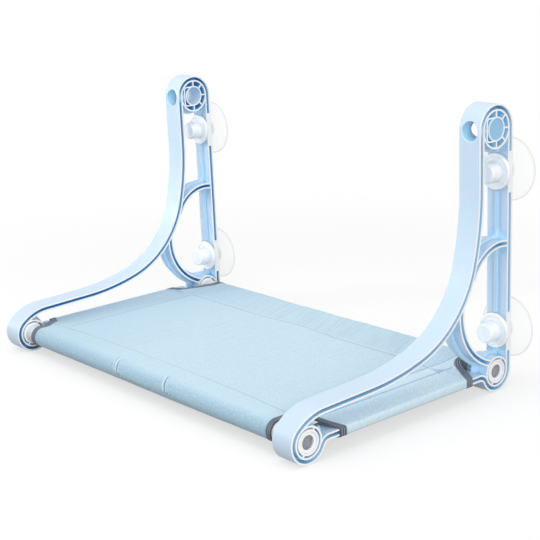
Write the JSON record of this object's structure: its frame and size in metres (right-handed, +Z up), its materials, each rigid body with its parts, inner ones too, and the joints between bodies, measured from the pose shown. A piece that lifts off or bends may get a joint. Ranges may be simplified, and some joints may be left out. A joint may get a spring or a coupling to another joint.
{
  "type": "window mounted cat perch",
  "caption": "Window perch for a cat: a flat fabric deck between two curved plastic side frames, held to the glass by suction cups with screw knobs.",
  "frame": {"origin": "middle of the perch at the height its four low hubs stand on, with the depth's middle between the front hubs and the cup rims", "axes": "+X from the left side frame to the right one, +Y towards the window, +Z up"},
  "size_m": [0.59, 0.3364, 0.3165],
  "materials": {
    "frame_plastic": "pale ice blue moulded plastic, satin",
    "white_plastic": "white moulded plastic, satin",
    "clear_vinyl": "clear soft vinyl, glossy",
    "tube_metal": "grey coated steel, satin",
    "deck_fabric": "pale blue plain woven fabric",
    "binding_tape": "grey woven binding tape",
    "closure_strip": "pale hook and loop strip"
  },
  "bodies": {
    "perch": {"side_frame_left": "frame_plastic", "side_frame_right": "frame_plastic", "front_tube": "tube_metal", "rear_tube": "tube_metal", "bushing_front_left": "white_plastic", "bushing_front_right": "white_plastic", "bushing_rear_left": "white_plastic", "bushing_rear_right": "white_plastic", "deck_cloth": "deck_fabric", "binding_front_left": "binding_tape", "binding_front_right": "binding_tape", "binding_rear_left": "binding_tape", "binding_rear_right": "binding_tape", "loop_strip_left": "closure_strip", "loop_strip_right": "closure_strip", "hook_strip_left": "closure_strip", "hook_strip_right": "closure_strip"},
    "knob_upper_left": {"knob_upper_left": "white_plastic"},
    "cup_upper_left": {"suction_cup_upper_left": "clear_vinyl", "stud_upper_left": "white_plastic"},
    "knob_upper_right": {"knob_upper_right": "white_plastic"},
    "cup_upper_right": {"suction_cup_upper_right": "clear_vinyl", "stud_upper_right": "white_plastic"},
    "knob_lower_left": {"knob_lower_left": "white_plastic"},
    "cup_lower_left": {"suction_cup_lower_left": "clear_vinyl", "stud_lower_left": "white_plastic"},
    "knob_lower_right": {"knob_lower_right": "white_plastic"},
    "cup_lower_right": {"suction_cup_lower_right": "clear_vinyl", "stud_lower_right": "white_plastic"}
  },
  "joints": [
    {"name": "knob_turn_upper_left", "type": "hinge", "parent": "perch", "child": "knob_upper_left", "pos_m": [-0.26, 0.14865, 0.242], "axis": [0, -1, 0], "range_deg": [0, 1440]},
    {"name": "cup_draw_upper_left", "type": "slide", "parent": "perch", "child": "cup_upper_left", "axis": [0, 1, 0], "range_m": [0, 0.012]},
    {"name": "knob_turn_upper_right", "type": "hinge", "parent": "perch", "child": "knob_upper_right", "pos_m": [0.26, 0.14865, 0.242], "axis": [0, -1, 0], "range_deg": [0, 1440]},
    {"name": "cup_draw_upper_right", "type": "slide", "parent": "perch", "child": "cup_upper_right", "axis": [0, 1, 0], "range_m": [0, 0.012]},
    {"name": "knob_turn_lower_left", "type": "hinge", "parent": "perch", "child": "knob_lower_left", "pos_m": [-0.26, 0.14865, 0.065], "axis": [0, -1, 0], "range_deg": [0, 1440]},
    {"name": "cup_draw_lower_left", "type": "slide", "parent": "perch", "child": "cup_lower_left", "axis": [0, 1, 0], "range_m": [0, 0.012]},
    {"name": "knob_turn_lower_right", "type": "hinge", "parent": "perch", "child": "knob_lower_right", "pos_m": [0.26, 0.14865, 0.065], "axis": [0, -1, 0], "range_deg": [0, 1440]},
    {"name": "cup_draw_lower_right", "type": "slide", "parent": "perch", "child": "cup_lower_right", "axis": [0, 1, 0], "range_m": [0, 0.012]}
  ],
  "couplings": [
    {"joint": "cup_draw_upper_left", "follows": "knob_turn_upper_left", "m_per_rad": 0.00047746},
    {"joint": "cup_draw_upper_right", "follows": "knob_turn_upper_right", "m_per_rad": 0.00047746},
    {"joint": "cup_draw_lower_left", "follows": "knob_turn_lower_left", "m_per_rad": 0.00047746},
    {"joint": "cup_draw_lower_right", "follows": "knob_turn_lower_right", "m_per_rad": 0.00047746}
  ]
}
